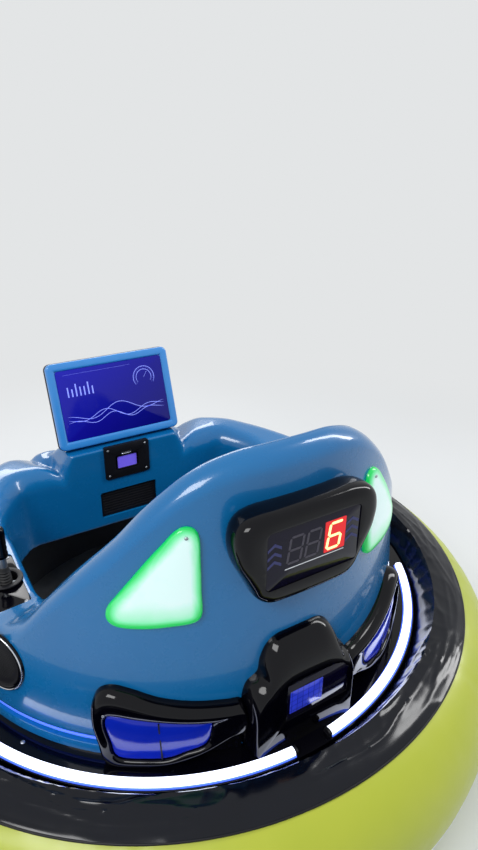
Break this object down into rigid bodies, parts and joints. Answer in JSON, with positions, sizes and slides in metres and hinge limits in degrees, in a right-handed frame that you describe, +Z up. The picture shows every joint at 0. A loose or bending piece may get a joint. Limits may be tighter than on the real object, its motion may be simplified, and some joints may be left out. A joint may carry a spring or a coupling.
{
  "type": "inflatable-ring bumper car",
  "caption": "Round battery bumper car: inflated bumper tube, backrest shell with number display and lamps, console screen, two levers, driven wheels and casters.",
  "frame": {"origin": "on the floor under the middle of the bumper tube", "axes": "+Z up, +Y to the rear of the car, +X to the rider's left"},
  "size_m": [1.7, 1.7, 0.96],
  "materials": {
    "tube_vinyl": "satin",
    "cover_vinyl": "gloss",
    "frame_paint": "satin",
    "floor_steel": "satin",
    "battery_case": "matte",
    "motor_case": "satin",
    "hub_alloy": "satin",
    "tyre_black": "matte",
    "zinc_steel": "satin",
    "caster_tread": "matte",
    "black_gloss": "gloss",
    "body_blue": "gloss",
    "light_white": "gloss",
    "screen_rim": "gloss",
    "screen_picture": "gloss",
    "number_smoke": "gloss",
    "lens_blue": "gloss",
    "lamp_milk": "satin",
    "speaker_black": "satin",
    "lever_black": "gloss",
    "seat_vinyl": "satin"
  },
  "bodies": {
    "root": {"bumper_tube": "tube_vinyl", "tube_cover": "cover_vinyl", "chassis_frame": "frame_paint", "floor_plate": "floor_steel", "battery_pack": "battery_case", "motor_left": "motor_case", "motor_right": "motor_case", "caster_base_front": "zinc_steel", "caster_base_rear": "zinc_steel", "deck_ring": "black_gloss", "ring_lights": "light_white", "backrest_shell": "body_blue", "side_pod_left": "body_blue", "side_pod_right": "body_blue", "front_cowl": "body_blue", "screen_frame": "screen_rim", "screen_glass": "screen_picture", "dash_panel": "black_gloss", "pocket_panel": "black_gloss", "head_lamps": "light_white", "cheek_strips": "light_white", "number_housing": "black_gloss", "number_window": "number_smoke", "rear_housing": "black_gloss", "tail_frame_left": "black_gloss", "tail_frame_right": "black_gloss", "tail_lens_left": "lens_blue", "tail_lens_right": "lens_blue", "side_lamp_left": "lamp_milk", "side_lamp_right": "lamp_milk", "speaker_left": "speaker_black", "speaker_right": "speaker_black", "side_vent_left": "black_gloss", "side_vent_right": "black_gloss", "lever_base_left": "lever_black", "lever_base_right": "lever_black", "seat_shelf": "frame_paint", "seat_cushion": "seat_vinyl", "back_cushion": "seat_vinyl"},
    "wheel_left": {"hub_left": "hub_alloy", "tyre_left": "tyre_black"},
    "wheel_right": {"hub_right": "hub_alloy", "tyre_right": "tyre_black"},
    "fork_front": {"caster_fork_front": "zinc_steel"},
    "fork_rear": {"caster_fork_rear": "zinc_steel"},
    "roller_front": {"caster_wheel_front": "caster_tread"},
    "roller_rear": {"caster_wheel_rear": "caster_tread"},
    "stick_left": {"lever_left": "lever_black"},
    "stick_right": {"lever_right": "lever_black"}
  },
  "joints": [
    {"name": "wheel_left_spin", "type": "hinge", "parent": "root", "child": "wheel_left", "pos_m": [0.33, 0, 0.1], "axis": [1, 0, 0], "continuous": true},
    {"name": "wheel_right_spin", "type": "hinge", "parent": "root", "child": "wheel_right", "pos_m": [-0.33, 0, 0.1], "axis": [1, 0, 0], "continuous": true},
    {"name": "fork_front_swivel", "type": "hinge", "parent": "root", "child": "fork_front", "pos_m": [0, -0.38, 0.1], "axis": [0, 0, 1], "continuous": true},
    {"name": "roller_front_spin", "type": "hinge", "parent": "fork_front", "child": "roller_front", "pos_m": [0, -0.406, 0.0375], "axis": [1, 0, 0], "continuous": true},
    {"name": "fork_rear_swivel", "type": "hinge", "parent": "root", "child": "fork_rear", "pos_m": [0, 0.38, 0.1], "axis": [0, 0, 1], "continuous": true},
    {"name": "roller_rear_spin", "type": "hinge", "parent": "fork_rear", "child": "roller_rear", "pos_m": [0, 0.406, 0.0375], "axis": [1, 0, 0], "continuous": true},
    {"name": "stick_left_tilt", "type": "hinge", "parent": "root", "child": "stick_left", "pos_m": [0.438, 0.071, 0.526], "axis": [1, 0, 0], "range_deg": [-15, 15], "stiffness_Nm_per_rad": 2},
    {"name": "stick_right_tilt", "type": "hinge", "parent": "root", "child": "stick_right", "pos_m": [-0.438, 0.071, 0.526], "axis": [1, 0, 0], "range_deg": [-15, 15], "stiffness_Nm_per_rad": 2}
  ]
}
